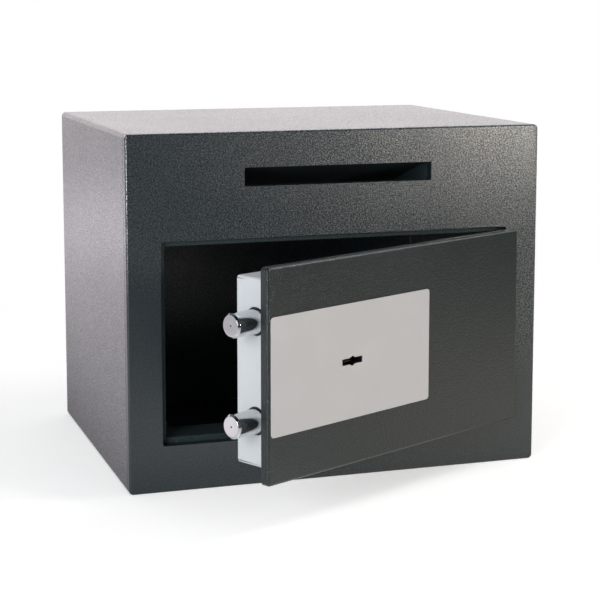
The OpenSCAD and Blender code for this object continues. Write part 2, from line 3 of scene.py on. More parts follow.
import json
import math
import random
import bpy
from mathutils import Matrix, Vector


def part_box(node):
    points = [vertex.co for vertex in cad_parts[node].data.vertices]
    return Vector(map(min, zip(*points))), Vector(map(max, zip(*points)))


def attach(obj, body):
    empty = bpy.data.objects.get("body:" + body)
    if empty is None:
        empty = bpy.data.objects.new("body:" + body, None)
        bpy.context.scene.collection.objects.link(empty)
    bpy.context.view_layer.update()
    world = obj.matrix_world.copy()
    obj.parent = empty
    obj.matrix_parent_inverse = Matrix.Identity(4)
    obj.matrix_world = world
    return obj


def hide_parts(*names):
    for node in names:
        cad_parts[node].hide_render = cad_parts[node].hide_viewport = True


bl_info = {
    "name": "Deposit Safe",
    "version": (1, 0, 0),
    "blender": (4, 5, 0),
    "location": "View3D > Sidebar > Safe",
    "description": "Dresses the packed frame of a deposit safe and sets its stage",
    "category": "Object",
}

import bmesh
import bpy
from mathutils import Matrix, Vector

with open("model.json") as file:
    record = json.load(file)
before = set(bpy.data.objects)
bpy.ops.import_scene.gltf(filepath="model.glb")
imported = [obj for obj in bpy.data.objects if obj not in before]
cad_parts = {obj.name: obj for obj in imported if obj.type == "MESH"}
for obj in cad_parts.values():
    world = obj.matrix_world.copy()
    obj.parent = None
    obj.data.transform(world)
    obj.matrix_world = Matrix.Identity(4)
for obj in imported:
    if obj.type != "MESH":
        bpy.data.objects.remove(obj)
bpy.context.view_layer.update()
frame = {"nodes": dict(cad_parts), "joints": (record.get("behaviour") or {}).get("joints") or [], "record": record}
MM = 0.001
QUARTER = math.pi / 2
WHITE = (1, 1, 1, 1)


def door_joint():
    """The joint that the door swings on."""
    return next(j for j in frame["joints"] if j["name"] == "door_hinge")


def door_place():
    """Moves what is drawn with the door closed to where the door stands at rest."""
    pivot = Matrix.Translation(Vector(door_joint()["pos_m"]))
    swing = Matrix.Rotation(math.radians(-door_joint()["range_deg"][0]), 4, "Z")
    return pivot @ swing @ pivot.inverted()


DOOR = door_place()
STILL = Matrix.Identity(4)


def corners_of(places):
    """The lowest and the highest corner of some places."""
    low = Vector(min(p[i] for p in places) for i in range(3))
    high = Vector(max(p[i] for p in places) for i in range(3))
    return low, high


def closed_box(node):
    """The corners of a node of the door, measured with the door closed."""
    back = DOOR.inverted()
    return corners_of([back @ v.co for v in frame["nodes"][node].data.vertices])


# Sizes and colours


class SafeSizes(bpy.types.PropertyGroup):
    """Sizes of the detail that the scene adds."""

    edge_soft: bpy.props.FloatProperty(
        name="Edge softness", description="Width of the softened edges of thick steel",
        default=0.45 * MM, min=0.1 * MM, max=1 * MM, subtype="DISTANCE", unit="LENGTH")
    body_corner: bpy.props.FloatProperty(
        name="Body corner", description="Radius of the corners of the body, seen from the front",
        default=4 * MM, min=2.5 * MM, max=6 * MM, subtype="DISTANCE", unit="LENGTH")
    body_rim: bpy.props.FloatProperty(
        name="Body rim", description="Radius of the rims in front and behind",
        default=2 * MM, min=1 * MM, max=2.4 * MM, subtype="DISTANCE", unit="LENGTH")
    bend_radius: bpy.props.FloatProperty(
        name="Casing bend", description="Outer radius of the bends of the casing",
        default=2.4 * MM, min=1.6 * MM, max=4 * MM, subtype="DISTANCE", unit="LENGTH")
    casing_sheet: bpy.props.FloatProperty(
        name="Casing sheet", description="Thickness of the casing sheet",
        default=1.5 * MM, min=1 * MM, max=2 * MM, subtype="DISTANCE", unit="LENGTH")
    weld_radius: bpy.props.FloatProperty(
        name="Weld radius", description="Radius of a weld bead",
        default=1.6 * MM, min=0.8 * MM, max=3 * MM, subtype="DISTANCE", unit="LENGTH")
    weld_pitch: bpy.props.FloatProperty(
        name="Weld ripple", description="Distance from one ripple of a weld to the next",
        default=1.3 * MM, min=0.6 * MM, max=3 * MM, subtype="DISTANCE", unit="LENGTH")
    peel_size: bpy.props.FloatProperty(
        name="Texture size", description="Size of a bump in the textured paint",
        default=1.35 * MM, min=0.5 * MM, max=3 * MM, subtype="DISTANCE", unit="LENGTH")


class SafeColours(bpy.types.PropertyGroup):
    """Colours of the finishes."""

    paint: bpy.props.FloatVectorProperty(
        name="Body paint", description="Textured paint of the body",
        default=(0.005, 0.0135, 0.0175), size=3, min=0, max=1, subtype="COLOR")
    front: bpy.props.FloatVectorProperty(
        name="Front paint", description="Textured paint of the front panel",
        default=(0.008, 0.0165, 0.021), size=3, min=0, max=1, subtype="COLOR")
    door: bpy.props.FloatVectorProperty(
        name="Door paint", description="Satin paint of the door",
        default=(0.006, 0.012, 0.0135), size=3, min=0, max=1, subtype="COLOR")
    inner: bpy.props.FloatVectorProperty(
        name="Inner paint", description="Paint of the door stop and the chute",
        default=(0.022, 0.034, 0.036), size=3, min=0, max=1, subtype="COLOR")
    casing: bpy.props.FloatVectorProperty(
        name="Casing paint", description="Light paint of the casing",
        default=(0.56, 0.585, 0.61), size=3, min=0, max=1, subtype="COLOR")
    plate: bpy.props.FloatVectorProperty(
        name="Plate finish", description="Matt silver of the front plate",
        default=(0.42, 0.41, 0.415), size=3, min=0, max=1, subtype="COLOR")
    chrome: bpy.props.FloatVectorProperty(
        name="Chrome", description="Polished chrome of the bolts",
        default=(0.67, 0.69, 0.70), size=3, min=0, max=1, subtype="COLOR")
    zinc: bpy.props.FloatVectorProperty(
        name="Zinc", description="Zinc plating of the screws",
        default=(0.60, 0.61, 0.62), size=3, min=0, max=1, subtype="COLOR")
    # Dark steel, darkened further so the gaps round the bolts read black: partly its own finish, partly painted
    # shade.
    steel: bpy.props.FloatVectorProperty(
        name="Darkened steel", description="Bare steel of the boltwork and the hinges",
        default=(0.08, 0.08, 0.085), size=3, min=0, max=1, subtype="COLOR")
    brass: bpy.props.FloatVectorProperty(
        name="Brass", description="Brass of the lock",
        default=(0.62, 0.47, 0.22), size=3, min=0, max=1, subtype="COLOR")


def sizes():
    return bpy.context.scene.safe_sizes


def colours():
    return bpy.context.scene.safe_colours


# Shader groups


class Graph:
    """Adds nodes to a tree and joins them. An input is named, or i0, i1 and so on by its place."""

    def __init__(self, tree):
        self.tree = tree
        tree.nodes.clear()

    def node(self, kind, settings=None, **inputs):
        made = self.tree.nodes.new(kind)
        for key, value in (settings or {}).items():
            setattr(made, key, value)
        for key, value in inputs.items():
            by_place = key[0] == "i" and key[1:].isdigit()
            self.feed(made.inputs[int(key[1:]) if by_place else key.replace("_", " ")], value)
        return made

    def feed(self, socket, value):
        if isinstance(value, bpy.types.NodeSocket):
            self.tree.links.new(value, socket)
        else:
            socket.default_value = value

    def math(self, operation, a, b=0.0):
        return self.node("ShaderNodeMath", {"operation": operation}, i0=a, i1=b).outputs[0]

    def add(self, a, b):
        return self.math("ADD", a, b)

    def less(self, a, b):
        return self.math("SUBTRACT", a, b)

    def times(self, a, b):
        return self.math("MULTIPLY", a, b)

    def most(self, a, b):
        return self.math("MAXIMUM", a, b)

    def unsigned(self, value):
        return self.math("ABSOLUTE", value)

    def spread(self, value, low, high, to_low, to_high):
        """Takes a value from one range to another, and holds it at the ends."""
        made = self.node("ShaderNodeMapRange", Value=value, From_Min=low, From_Max=high,
                         To_Min=to_low, To_Max=to_high)
        return made.outputs[0]

    def blend(self, factor, first, second):
        """A mix of two colours."""
        made = self.node("ShaderNodeMix", {"data_type": "RGBA"}, i0=factor, i6=first, i7=second)
        return made.outputs[2]

    def mix(self, factor, first, second):
        """A mix of two shaders."""
        return self.node("ShaderNodeMixShader", i0=factor, i1=first, i2=second).outputs[0]

    def both(self, first, second):
        return self.node("ShaderNodeAddShader", i0=first, i1=second).outputs[0]

    def glow(self, colour, strength):
        return self.node("ShaderNodeEmission", Color=colour, Strength=strength).outputs[0]

    def axes(self, place):
        return self.node("ShaderNodeSeparateXYZ", Vector=place).outputs

    def noise(self, place, scale, detail, roughness=0.5):
        made = self.node("ShaderNodeTexNoise", Vector=place, Scale=scale, Detail=detail,
                         Roughness=roughness)
        return made.outputs["Fac"]


def shader_group(name, inputs, outputs, build):
    """A node group with named number inputs and outputs. build returns a value for each output."""
    tree = bpy.data.node_groups.new(name, "ShaderNodeTree")
    for label, default in inputs:
        socket = tree.interface.new_socket(label, in_out="INPUT", socket_type="NodeSocketFloat")
        socket.default_value = default
    for label in outputs:
        tree.interface.new_socket(label, in_out="OUTPUT", socket_type="NodeSocketFloat")
    graph = Graph(tree)
    start = graph.node("NodeGroupInput")
    end = graph.node("NodeGroupOutput")
    values = build(graph, {label: start.outputs[label] for label, _ in inputs})
    for label, value in zip(outputs, values):
        tree.links.new(value, end.inputs[label])
    return tree


def build_textured_coat(graph, given):
    """Rounded bumps close together, with a slow drift of tone over the sheet.

    Shine is the gloss of each spot. Its level and its grain fall off towards the foot and the grain is
    stronger in the middle: a painted sheen, placed where the light falls. A glossier line on the rims at
    both sides is a painted highlight.
    """
    place = graph.node("ShaderNodeTexCoord").outputs["Object"]
    per_metre = given["Bumps per metre"]
    bumps = graph.node("ShaderNodeTexVoronoi", {"feature": "SMOOTH_F1"}, Vector=place,
                       Scale=per_metre, Smoothness=0.55, Randomness=1.0).outputs["Distance"]
    waves = graph.noise(place, scale=per_metre, detail=2.0, roughness=0.55)
    drift = graph.noise(place, scale=7.0, detail=3.0)
    domes = graph.less(1.0, bumps)
    dome_share, wave_share = 0.5, 0.9
    height = graph.add(graph.times(domes, dome_share), graph.times(waves, wave_share))

    dots_per_bump, brightest, wave_span, dot_span = 1.9, 1.35, (0.36, 0.60), (0.34, 0.56)
    dots = graph.noise(place, scale=graph.times(per_metre, dots_per_bump), detail=0.0)
    speck = graph.times(graph.spread(waves, *wave_span, 0.0, 1.0),
                        graph.spread(dots, *dot_span, 0.0, brightest))
    tone = graph.add(graph.times(speck, given["Speckle"]), graph.times(drift, given["Drift"]))

    # Gloss level and grain set by height and side: painted sheen where the light falls.
    lean, foot_grain, foot_level, middle = 0.25, 0.12, 0.30, 0.43
    axes = graph.axes(place)
    rise = graph.add(axes["Z"], graph.times(axes["X"], lean))
    full = graph.spread(rise, given["Even up to"], given["Full from"], 0.0, 1.0)
    grain = graph.times(graph.spread(full, 0.0, 1.0, foot_grain, 1.0), given["Grain"])
    band_to_left, band_fade = 0.03, (0.06, 0.12)
    aside = graph.unsigned(graph.add(axes["X"], band_to_left))
    grain = graph.times(grain, graph.spread(aside, *band_fade, given["Centre"], 1.0))
    level = graph.spread(full, 0.0, 1.0, foot_level, middle)
    shine = graph.add(graph.times(graph.less(speck, middle), grain), level)

    # Extra gloss in a thin line on both rims: a painted highlight.
    rim_highlight_gloss, line_start, line_end = 1.6, (0.0, 0.4 * MM), (0.8 * MM, 1.2 * MM)
    past = graph.less(graph.unsigned(axes["X"]), given["Rim"])
    line = graph.times(graph.spread(past, *line_start, 0.0, full),
                       graph.spread(past, *line_end, 1.0, 0.0))
    shine = graph.add(shine, graph.times(graph.times(speck, line), rim_highlight_gloss))
    return height, tone, drift, shine


def build_metal_grain(graph, given):
    """Fine lines along one way of the metal, with faint handling marks."""
    place = graph.node("ShaderNodeTexCoord").outputs["Object"]
    along, across = given["Along"], given["Across"]
    stretch = graph.node("ShaderNodeCombineXYZ", X=along, Y=along, Z=across).outputs[0]
    lined = graph.node("ShaderNodeVectorMath", {"operation": "MULTIPLY"}, i0=place, i1=stretch).outputs[0]
    lines = graph.noise(lined, scale=1.0, detail=3.0, roughness=0.6)
    marks = graph.noise(place, scale=38.0, detail=4.0, roughness=0.6)
    mark_span = (0.4, 0.7)
    return lines, graph.spread(marks, *mark_span, 0.0, 1.0)


def coat_group():
    """The textured coat. Its places are in metres, and lie outside the safe until a paint sets them."""
    return bpy.data.node_groups.get("Textured coat") or shader_group(
        "Textured coat", (("Bumps per metre", 700.0), ("Speckle", 0.5), ("Drift", 0.35), ("Grain", 1.0),
                          ("Even up to", -2.0), ("Full from", -1.0), ("Rim", 9.0), ("Centre", 1.0)),
        ("Height", "Tone", "Drift", "Shine"), build_textured_coat)


def grain_group():
    return bpy.data.node_groups.get("Metal grain") or shader_group(
        "Metal grain", (("Along", 60.0), ("Across", 2600.0)), ("Lines", "Marks"), build_metal_grain)


# Materials


def shaded(name):
    """A new material, its graph and its shader."""
    material = bpy.data.materials.new(name)
    material.use_nodes = True
    graph = Graph(material.node_tree)
    shader = graph.node("ShaderNodeBsdfPrincipled")
    graph.node("ShaderNodeOutputMaterial", Surface=shader.outputs[0])
    return material, graph, shader


def lighter(colour, share):
    return tuple(min(1.0, c * share) for c in colour) + (1.0,)


def between(graph, factor, colour, contrast):
    """The colour taken from its darker to its lighter share by a factor."""
    return graph.blend(factor, lighter(colour, contrast[0]), lighter(colour, contrast[1]))


def bumped(graph, shader, height, depth):
    bump = graph.node("ShaderNodeBump", Strength=1.0, Distance=depth, Height=height)
    graph.feed(shader.inputs["Normal"], bump.outputs[0])


def painted(name, colour, size, depth, roughness, contrast=(0.75, 1.45), gloss=0.5, coat=0.0,
            coat_ior=1.9, **skin_values):
    """Paint with a bumpy skin: size is that of a bump, and depth its height."""
    material, graph, shader = shaded(name)
    skin = graph.node("ShaderNodeGroup", {"node_tree": coat_group()},
                      Bumps_per_metre=1 / size, **skin_values)
    graph.feed(shader.inputs["Base Color"], between(graph, skin.outputs["Tone"], colour, contrast))
    uneven, drift_span, coat_roughness = 0.02, (0.3, 0.7), 0.3
    graph.feed(shader.inputs["Roughness"],
               graph.spread(skin.outputs["Drift"], *drift_span, roughness - uneven, roughness + uneven))
    bumped(graph, shader, skin.outputs["Height"], depth)
    graph.feed(shader.inputs["Coat Weight"], graph.times(skin.outputs["Shine"], coat))
    shader.inputs["Specular IOR Level"].default_value = gloss
    shader.inputs["Coat Roughness"].default_value = coat_roughness
    shader.inputs["Coat IOR"].default_value = coat_ior
    return material


def metal(name, colour, roughness, depth=0.004 * MM, metallic=1.0, contrast=(0.88, 1.12)):
    """Bare or plated metal with a fine grain."""
    material, graph, shader = shaded(name)
    grain = graph.node("ShaderNodeGroup", {"node_tree": grain_group()})
    line_share, mixed_span = 0.5, (0.2, 0.8)
    mixed = graph.add(graph.times(grain.outputs["Lines"], line_share),
                      graph.times(grain.outputs["Marks"], 1 - line_share))
    graph.feed(shader.inputs["Base Color"], between(graph, mixed, colour, contrast))
    smoothest, roughest = roughness * 0.85, roughness * 1.2
    graph.feed(shader.inputs["Roughness"], graph.spread(mixed, *mixed_span, smoothest, roughest))
    bumped(graph, shader, grain.outputs["Lines"], depth)
    shader.inputs["Metallic"].default_value = metallic
    return material


FINISH = {}


class SAFE_OT_finishes(bpy.types.Operator):
    """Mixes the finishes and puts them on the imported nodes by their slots"""

    bl_idname = "safe.finishes"
    bl_label = "Mix the finishes"

    def execute(self, context):
        bump, colour = sizes().peel_size, colours()
        textured = {"size": bump, "depth": 0.35 * MM, "roughness": 0.305, "contrast": (0.88, 1.22)}
        FINISH["body_paint"] = painted("Body paint", colour.paint, **textured, coat=0.9, Grain=0.8)
        # The front copy places its gloss by height, by side and on the rims: painted sheen and highlight.
        FINISH["front_paint"] = painted(
            "Front paint", colour.front, **textured, gloss=0.25, coat=1.0, coat_ior=2.25,
            Grain=0.95, Even_up_to=0.12, Full_from=0.18, Rim=0.1883, Centre=1.65)
        FINISH["inner_paint"] = painted(
            "Inner paint", colour.inner, size=bump, depth=0.3 * MM, roughness=0.62, gloss=0.2)
        FINISH["door_paint"] = painted(
            "Door paint", colour.door, size=bump, depth=0.4 * MM, roughness=0.31, contrast=(0.45, 1.75),
            gloss=0.62, Speckle=0.6)
        FINISH["casing_paint"] = painted(
            "Casing paint", colour.casing, size=0.5 * MM, depth=0.006 * MM, roughness=0.36,
            contrast=(0.96, 1.03), Speckle=0.3)
        FINISH["plate_finish"] = metal(
            "Plate finish", colour.plate, roughness=0.42, depth=0.003 * MM, metallic=0.0,
            contrast=(0.97, 1.03))
        FINISH["bolt_chrome"] = metal("Bolt chrome", colour.chrome, roughness=0.09, depth=0.0006 * MM)
        FINISH["zinc_screws"] = metal("Zinc plating", colour.zinc, roughness=0.28)
        # The boltwork's steel is darkened so the gaps round the bolts show black: painted shade.
        FINISH["plain_steel"] = metal("Darkened steel", colour.steel, roughness=0.38, depth=0.008 * MM)
        FINISH["lock_brass"] = metal("Lock brass", colour.brass, roughness=0.30)
        for node, piece in frame["nodes"].items():
            wear(piece, slot_of(node))
        return {"FINISHED"}


def wear(piece, finish):
    """Gives a piece a finish all over."""
    piece.data.materials.clear()
    piece.data.materials.append(FINISH[finish])
    for face in piece.data.polygons:
        face.material_index = 0


def slot_of(node):
    return next(part["material_slot"] for part in frame["record"]["subparts"] if part["node"] == node)


def body_of(node):
    return next(name for name, nodes in frame["record"]["behaviour"]["bodies"].items() if node in nodes)


# Mesh work

HAIR = Vector((MM, MM, MM)) / 100
TINY = 0.001 * MM
FLAT_WITHIN = math.radians(0.3)
SHARP_FROM = math.radians(28)
FOLDED_SMOOTH, WELD_SMOOTH, TURNED_SMOOTH, BOLT_SMOOTH = 32, 60, 30, 40


def finish_piece(name, bm, body, slot, replaced=(), smooth=FOLDED_SMOOTH, finish=None):
    """Turns a bmesh into a piece that rides on a body and stands for the nodes it replaces."""
    bmesh.ops.recalc_face_normals(bm, faces=bm.faces)
    piece = as_object(name, bm)
    mesh = piece.data
    mesh.polygons.foreach_set("use_smooth", [True] * len(mesh.polygons))
    mesh.set_sharp_from_angle(angle=math.radians(smooth))
    weighted = piece.modifiers.new("Even shading", "WEIGHTED_NORMAL")
    weighted.keep_sharp = True
    wear(piece, finish or slot)
    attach(piece, body)
    if replaced:
        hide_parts(*replaced)
    return piece


def as_object(name, bm):
    """Turns a bmesh into an object and frees it."""
    mesh = bpy.data.meshes.new(name)
    bm.to_mesh(mesh)
    bm.free()
    made = bpy.data.objects.new(name, mesh)
    bpy.context.scene.collection.objects.link(made)
    return made


def join_flats(bm):
    bmesh.ops.dissolve_limit(bm, angle_limit=FLAT_WITHIN, verts=bm.verts, edges=bm.edges)


def node_mesh(node):
    """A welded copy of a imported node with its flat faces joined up."""
    bm = bmesh.new()
    bm.from_mesh(frame["nodes"][node].data)
    bmesh.ops.remove_doubles(bm, verts=bm.verts, dist=TINY)
    join_flats(bm)
    return bm


def soften(bm, width):
    """Rounds the sharp edges."""
    edges = [e for e in bm.edges if len(e.link_faces) == 2 and e.calc_face_angle() > SHARP_FROM]
    bmesh.ops.bevel(bm, geom=edges, offset=width, offset_type="OFFSET", segments=2, profile=0.5,
                    affect="EDGES", clamp_overlap=False)


def softened_node(node, width, name=None):
    """Replaces a node with its own shape, with the sharp edges rounded as painted steel has them."""
    bm = node_mesh(node)
    soften(bm, width)
    return finish_piece(name or node + "_soft", bm, body_of(node), slot_of(node), (node,))


def lathe(profile, segments):
    """A turned solid about +X from points of distance along the axis and radius."""
    bm = bmesh.new()
    rings = []
    for along, radius in profile:
        if radius < TINY:
            rings.append([bm.verts.new((along, 0, 0))])
        else:
            rings.append([bm.verts.new((along, radius * math.cos(t), radius * math.sin(t)))
                          for t in (2 * math.pi * i / segments for i in range(segments))])
    for first, second in zip(rings, rings[1:]):
        for i in range(segments):
            corners = [first[i % len(first)], first[(i + 1) % len(first)],
                       second[(i + 1) % len(second)], second[i % len(second)]]
            corners = [c for n, c in enumerate(corners) if c not in corners[:n]]
            bm.faces.new(corners)
    return bm


def rod(radius, length, segments):
    """A plain round cutter about +X."""
    return lathe([(0, 0), (0, radius), (length, radius), (length, 0)], segments)


def join(bm, other, matrix):
    """Adds a copy of another bmesh at a place."""
    mesh = bpy.data.meshes.new("join")
    other.to_mesh(mesh)
    mesh.transform(matrix)
    bm.from_mesh(mesh)
    bpy.data.meshes.remove(mesh)


def box_mesh(low, high):
    bm = bmesh.new()
    bmesh.ops.create_cube(bm, size=1.0)
    low, high = Vector(low), Vector(high)
    for v in bm.verts:
        v.co = Vector((low[i] + (v.co[i] + 0.5) * (high[i] - low[i]) for i in range(3)))
    return bm


def loft(bm, rings):
    """Faces from ring to ring, each ring with the same number of points."""
    count = len(rings[0])
    for first, second in zip(rings, rings[1:]):
        for k in range(count):
            bm.faces.new((first[k], first[(k + 1) % count], second[(k + 1) % count], second[k]))


def rounded_block(low, high, corner, front_rim, back_rim):
    """A block with rounded corners seen from the front, and rounded rims in front and behind."""
    steps = 8
    quarters = [QUARTER * i / steps for i in range(steps + 1)]
    profile = [(front_rim * (1 - math.sin(t)), low.y + front_rim * (1 - math.cos(t))) for t in quarters]
    profile += [(back_rim * (1 - math.cos(t)), high.y - back_rim * (1 - math.sin(t))) for t in quarters]
    centres = ((high.x - corner, high.z - corner), (low.x + corner, high.z - corner),
               (low.x + corner, low.z + corner), (high.x - corner, low.z + corner))
    bm = bmesh.new()
    rings = []
    for inset, y in profile:
        rings.append([bm.verts.new((x + (corner - inset) * math.cos(QUARTER * i + t), y,
                                    z + (corner - inset) * math.sin(QUARTER * i + t)))
                      for i, (x, z) in enumerate(centres) for t in quarters])
    loft(bm, rings)
    bm.faces.new(rings[0])
    bm.faces.new(rings[-1][::-1])
    bmesh.ops.recalc_face_normals(bm, faces=bm.faces)
    return bm


def rounded_node(node, name, corner, front_rim, back_rim, place=STILL, finish=None):
    """Replaces a node with its own shape, cut back to rounded corners and rims."""
    bm = node_mesh(node)
    bm.transform(place.inverted())
    low, high = corners_of([v.co for v in bm.verts])
    block = rounded_block(low + HAIR, high - HAIR, corner, front_rim, back_rim)
    bm = shaped(bm, ("BOOLEAN", {"operation": "INTERSECT", "solver": "EXACT"}, block))
    join_flats(bm)
    soften(bm, sizes().edge_soft)
    bm.transform(place)
    return finish_piece(name, bm, body_of(node), slot_of(node), (node,), finish=finish)


def shaped(worked, *steps):
    """Runs modifiers on a bmesh. A step is a kind, its settings and the cutter that it uses, if any."""
    base = as_object("work", worked)
    cutters = []
    for kind, settings, cutter in steps:
        modifier = base.modifiers.new(kind, kind)
        for key, value in settings.items():
            setattr(modifier, key, value)
        if cutter is not None:
            tool = as_object("cutter", cutter)
            modifier.object = tool
            cutters.append(tool)
    bpy.context.view_layer.update()
    view = bpy.context.evaluated_depsgraph_get()
    result = bmesh.new()
    result.from_object(base, view)
    for spare in [base] + cutters:
        mesh = spare.data
        bpy.data.objects.remove(spare)
        bpy.data.meshes.remove(mesh)
    return result


def turned_to(origin, direction):
    """Moves what is drawn along +X from the origin to a point and direction."""
    turn = Vector((1, 0, 0)).rotation_difference(Vector(direction)).to_matrix().to_4x4()
    return Matrix.Translation(Vector(origin)) @ turn


def weld_bead(bm, start, end, normal, seed):
    """A rippled bead from start to end. Normal points out of the corner that it fills."""
    radius, pitch = sizes().weld_radius, sizes().weld_pitch
    steps_per_ripple, fewest_steps, facets = 4, 6, 8
    ripple_depth, flatness, thinnest_end, bluntness, unevenness = 0.10, 0.75, 0.02, 8, 0.03
    start, end, normal = Vector(start), Vector(end), Vector(normal).normalized()
    along = (end - start).normalized()
    side = along.cross(normal)
    length = (end - start).length
    drawn = random.Random(seed)
    steps = max(fewest_steps, int(length / pitch * steps_per_ripple))
    rings = []
    for i in range(steps + 1):
        share = i / steps
        cap = math.sqrt(max(thinnest_end, 1 - (2 * share - 1) ** bluntness))
        ripple = 1 + ripple_depth * math.cos(2 * math.pi * share * length / pitch)
        size = radius * cap * ripple * drawn.uniform(1 - unevenness, 1 + unevenness)
        centre = start + along * (length * share)
        ring = []
        for k in range(facets + 1):
            turn = math.pi * k / facets
            across = side * (size * math.cos(turn))
            ring.append(bm.verts.new(centre + across + normal * (size * flatness * math.sin(turn))))
        rings.append(ring)
    loft(bm, rings)
    bm.faces.new(rings[0][::-1])
    bm.faces.new(rings[-1])


def stitch(bm, start, end, normal, run, gap, seed):
    """Short beads with gaps between them, from start to end."""
    start, end = Vector(start), Vector(end)
    length = (end - start).length
    count = max(1, int((length + gap) / (run + gap)))
    first = (length - count * run - (count - 1) * gap) / 2
    along = (end - start) / length
    for i in range(count):
        begin = start + along * (first + i * (run + gap))
        weld_bead(bm, begin, begin + along * run, normal, seed + i)


# Body

SHEET_SOFT = 0.3 * MM
FOLDED_RIM = 0.5 * MM


class SAFE_OT_body(bpy.types.Operator):
    """Rounds the body sheet and the front panel, softens the back, and welds the back in"""

    bl_idname = "safe.body"
    bl_label = "Body"

    def execute(self, context):
        corner, rim = sizes().body_corner, sizes().body_rim
        rounded_node("body_wrap", "body_shell", corner, FOLDED_RIM, rim)
        rounded_node("front_panel", "front_face", corner, rim, FOLDED_RIM, finish="front_paint")
        softened_node("back_panel", sizes().edge_soft * 1.8, "back_sheet")
        low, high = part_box("back_panel")
        inner = low.y
        bm = bmesh.new()
        corners = [(low.x, low.z), (high.x, low.z), (high.x, high.z), (low.x, high.z)]
        middle = Vector(((low.x + high.x) / 2, (low.z + high.z) / 2))
        for i, (a, b) in enumerate(zip(corners, corners[1:] + corners[:1])):
            half = (Vector(a) + Vector(b)) / 2
            inward = (middle - half).normalized()
            normal = Vector((inward.x, -1, inward.y))
            stitch(bm, (a[0], inner, a[1]), (b[0], inner, b[1]), normal,
                   run=30 * MM, gap=32 * MM, seed=10 * i)
        finish_piece("back_welds", bm, "body", "body_paint", smooth=WELD_SMOOTH)
        return {"FINISHED"}


class SAFE_OT_jambs(bpy.types.Operator):
    """Softens the door stop and the jambs, and welds them behind the front panel"""

    bl_idname = "safe.jambs"
    bl_label = "Door stop"

    def execute(self, context):
        for node in ("door_stop_top", "door_stop_bottom", "keeper_jamb", "hinge_jamb"):
            softened_node(node, sizes().edge_soft * 0.8)
        bm = bmesh.new()
        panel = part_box("front_panel")[1].y
        run = 25 * MM
        low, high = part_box("door_stop_top")
        for z, up in ((high.z, 1), (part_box("door_stop_bottom")[0].z, -1)):
            stitch(bm, (low.x, panel, z), (high.x, panel, z), (0, 1, up), run, gap=40 * MM, seed=60 + up)
        low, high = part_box("keeper_jamb")
        stitch(bm, (low.x, panel, low.z), (low.x, panel, high.z), (-1, 1, 0), run, gap=28 * MM, seed=80)
        finish_piece("stop_welds", bm, "body", "inner_paint", smooth=WELD_SMOOTH)
        return {"FINISHED"}


class SAFE_OT_chute(bpy.types.Operator):
    """Softens the sheets of the deposit chute and welds the trough to the front panel"""

    bl_idname = "safe.chute"
    bl_label = "Deposit chute"

    def execute(self, context):
        for node in ("chute_trough", "chute_roof", "fishing_baffle"):
            softened_node(node, SHEET_SOFT)
        bm = bmesh.new()
        low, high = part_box("chute_trough")
        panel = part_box("front_panel")[1].y
        welded = 24 * MM
        for x, side in ((low.x, -1), (high.x, 1)):
            stitch(bm, (x, panel, high.z - welded), (x, panel, high.z), (side, 1, 0),
                   run=20 * MM, gap=10 * MM, seed=95 + side)
        finish_piece("chute_welds", bm, "body", "inner_paint", smooth=WELD_SMOOTH)
        return {"FINISHED"}


class SAFE_OT_hinges(bpy.types.Operator):
    """Softens the hinges, turns their pins with domed heads, and welds the brackets and the arms on"""

    bl_idname = "safe.hinges"
    bl_label = "Hinges"

    def execute(self, context):
        thick_soft, washer_soft, head_brim = 0.35 * MM, 0.12 * MM, 1.5 * MM
        behind_pin, before_end, arm_from, arm_to = 12 * MM, 2 * MM, 1 * MM, 17 * MM
        for node in ("hinge_bracket_upper", "hinge_bracket_lower", "hinge_arm_upper", "hinge_arm_lower"):
            softened_node(node, thick_soft)
        softened_node("hinge_washers", washer_soft)
        low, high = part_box("hinge_pins")
        head_radius = (high.x - low.x) / 2
        pin_radius = head_radius - head_brim
        head_height = high.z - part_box("hinge_bracket_upper")[1].z
        pins, body_welds, door_welds = bmesh.new(), bmesh.new(), bmesh.new()
        for number, height in enumerate(("upper", "lower")):
            base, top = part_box("hinge_bracket_" + height)
            pin = pin_mesh(pin_radius, top.z - base.z, head_radius, head_height)
            join(pins, pin, turned_to(((low.x + high.x) / 2, (low.y + high.y) / 2, base.z), (0, 0, 1)))
            pin.free()
            start, end = base.y + behind_pin, top.y - before_end
            for z, up in ((top.z, 1), (base.z, -1)):
                weld_bead(body_welds, (top.x, start, z), (top.x, end, z), (-1, 0, up),
                          seed=120 + 4 * number + up)
            foot, tip = closed_box("hinge_arm_" + height)
            start, end = foot.x + arm_from, foot.x + arm_to
            for z, up in ((tip.z, 1), (foot.z, -1)):
                weld_bead(door_welds, (start, foot.y, z), (end, foot.y, z), (0, 1, up),
                          seed=140 + 4 * number + up)
        door_welds.transform(DOOR)
        finish_piece("hinge_pin_pair", pins, "body", "plain_steel", ("hinge_pins",), smooth=TURNED_SMOOTH)
        finish_piece("bracket_welds", body_welds, "body", "plain_steel", smooth=WELD_SMOOTH)
        finish_piece("arm_welds", door_welds, "door", "plain_steel", smooth=WELD_SMOOTH)
        return {"FINISHED"}


def pin_mesh(radius, length, head_radius, head_height):
    """A hinge pin along +X with a chamfered foot and a domed head at the far end."""
    chamfer, brim, brim_share, rounds = 0.4 * MM, 0.15 * MM, 0.3, 8
    profile = [(0, 0), (0, radius - chamfer), (chamfer, radius), (length, radius),
               (length, head_radius - brim), (length + brim, head_radius)]
    for i in range(rounds + 1):
        turn = QUARTER * i / rounds
        rise = brim_share + (1 - brim_share) * math.sin(turn)
        profile.append((length + head_height * rise, head_radius * math.cos(turn)))
    return lathe(profile, segments=48)


# Door


